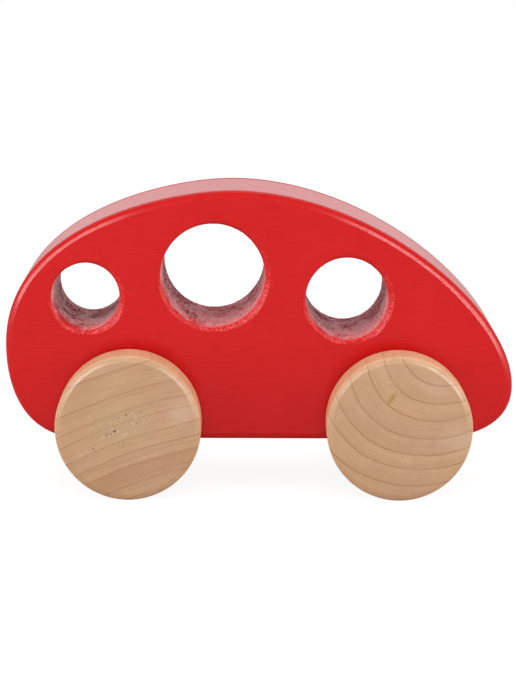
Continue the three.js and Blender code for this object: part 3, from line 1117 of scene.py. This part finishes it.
def studio_world():
    """White to the camera, a pale backdrop in gloss, and otherwise soft light, mostly from above."""
    world = bpy.data.worlds.new("studio")
    bpy.context.scene.world = world
    world.use_nodes = True
    tree = world.node_tree
    background = tree.nodes["Background"].inputs
    fill(tree, background["Color"], WHITE)
    direction = parts(tree, add(tree, "ShaderNodeTexCoord").outputs["Generated"])
    heights = (direction["Z"], 0.0, 1.0, HORIZON_LIGHT, OVERHEAD_LIGHT)
    light = add(tree, "ShaderNodeMapRange", heights).outputs[0]
    light = maths(tree, "ADD", light, ranged(tree, direction["Y"], 0.0, 1.0, 0.0, BEHIND_LIGHT))
    backdrop = ranged(tree, direction["Y"], *BACKDROP_EDGE, BESIDE_BACKDROP_GLOSS, BACKDROP_GLOSS)
    light = add(tree, "ShaderNodeMix", (seen_by(tree, "Is Glossy Ray"), None, light, backdrop)).outputs[0]
    seen = seen_by(tree, "Is Camera Ray", "Is Transmission Ray")
    whiter = times(tree, rest_of(tree, light), seen)
    fill(tree, background["Strength"], maths(tree, "ADD", light, whiter))


def studio_floor():
    """A floor that keeps the toy's soft shadow: white to the camera, pale in gloss, clear from below, and
    darker near the toy as painted shade in the light it bounces.
    """
    material = bpy.data.materials.new("pale_floor")
    material.use_nodes = True
    tree = material.node_tree
    tree.nodes.clear()
    place, _ = coordinates(tree)
    # Painted shade: the floor bounces less light within a band under and beside the toy
    away = maths(tree, "ABSOLUTE", parts(tree, place)["Y"])
    tone = ranged(tree, away, FLOOR_NEAR, FLOOR_FAR, FLOOR_NEAR_SHADE_TONE, FLOOR_FAR_TONE)
    tone = blended(tree, seen_by(tree, "Is Glossy Ray"), tone, FLOOR_GLOSS_TONE)
    pale = add(tree, "ShaderNodeBsdfDiffuse", {"Color": tone}).outputs[0]
    shaded = add(tree, "ShaderNodeBsdfDiffuse", {"Color": FLOOR_SHADOW_TONE}).outputs[0]
    glow = add(tree, "ShaderNodeEmission", {"Color": FLOOR_GLOW}).outputs[0]
    white = add(tree, "ShaderNodeAddShader", (shaded, glow)).outputs[0]
    seen = seen_by(tree, "Is Camera Ray", "Is Transmission Ray")
    above = add(tree, "ShaderNodeMixShader", (seen, pale, white)).outputs[0]
    from_below = add(tree, "ShaderNodeNewGeometry").outputs["Backfacing"]
    clear = add(tree, "ShaderNodeBsdfTransparent").outputs[0]
    surface = add(tree, "ShaderNodeMixShader", (from_below, above, clear)).outputs[0]
    add(tree, "ShaderNodeOutputMaterial", (surface,))
    mesh = bpy.data.meshes.new("studio_floor")
    half = FLOOR_SIZE / 2
    corners = [(-half, -half, 0.0), (half, -half, 0.0), (half, half, 0.0), (-half, half, 0.0)]
    mesh.from_pydata(corners, [], [(0, 1, 2, 3)])
    mesh.materials.append(material)
    floor = linked("studio_floor", mesh)


def soft_lamp(name, azimuth, elevation, roll, size, radiance, diffuse=True, gloss=True):
    """A soft box aimed at the toy. Azimuth 0 is in front of its right side, and grows towards the nose."""
    light = bpy.data.lights.new(name, "AREA")
    light.shape = "RECTANGLE"
    light.size, light.size_y = size
    light.energy = radiance * math.pi * light.size * light.size_y
    lamp = linked(name, light)
    around = math.radians(azimuth)
    up = math.radians(elevation)
    away = Vector((math.sin(around) * math.cos(up), -math.cos(around) * math.cos(up), math.sin(up)))
    lamp.location = LAMP_AIM + away * LAMP_DISTANCE
    facing = away.to_track_quat("Z", "Y").to_matrix() @ Matrix.Rotation(math.radians(roll), 3, "Z")
    lamp.rotation_euler = facing.to_euler()
    lamp.visible_diffuse = diffuse
    lamp.visible_glossy = gloss


def studio_lamps():
    """Two slanting strips in front, a broad panel to each side and a front fill."""
    ends = (("rear", -1), ("front", 1))
    for end, way in ends:
        soft_lamp(end + "_strip", way * STRIP_AZIMUTH, STRIP_ELEVATION, -way * STRIP_ROLL,
                  STRIP_SIZE, STRIP_RADIANCE, diffuse=False)
    for end, way in ends:
        soft_lamp(end + "_panel", way * PANEL_AZIMUTH, PANEL_ELEVATION, 0, PANEL_SIZE, PANEL_RADIANCE)
    soft_lamp("fill", 0, FILL_ELEVATION, 0, FILL_SIZE, FILL_RADIANCE, gloss=False)


def studio_camera():
    """The camera, with its axes from pitch, yaw and roll."""
    forward = Vector((
        math.sin(CAMERA_YAW) * math.cos(CAMERA_PITCH),
        math.cos(CAMERA_YAW) * math.cos(CAMERA_PITCH),
        -math.sin(CAMERA_PITCH),
    ))
    right = Vector((math.cos(CAMERA_YAW), -math.sin(CAMERA_YAW), 0.0))
    up = right.cross(forward)
    level = Matrix((right, up, -forward)).transposed()
    rolled = level @ Matrix.Rotation(CAMERA_ROLL, 3, "Z")
    data = bpy.data.cameras.new("studio_camera")
    data.lens = CAMERA_LENS
    camera = linked("studio_camera", data)
    camera.matrix_world = Matrix.Translation(CAMERA_PLACE) @ rolled.to_4x4()
    bpy.context.scene.camera = camera


bpy.context.scene.view_settings.view_transform = "Standard"
studio_camera()
studio_world()
studio_floor()
studio_lamps()
painted_slab()
wheelsets()
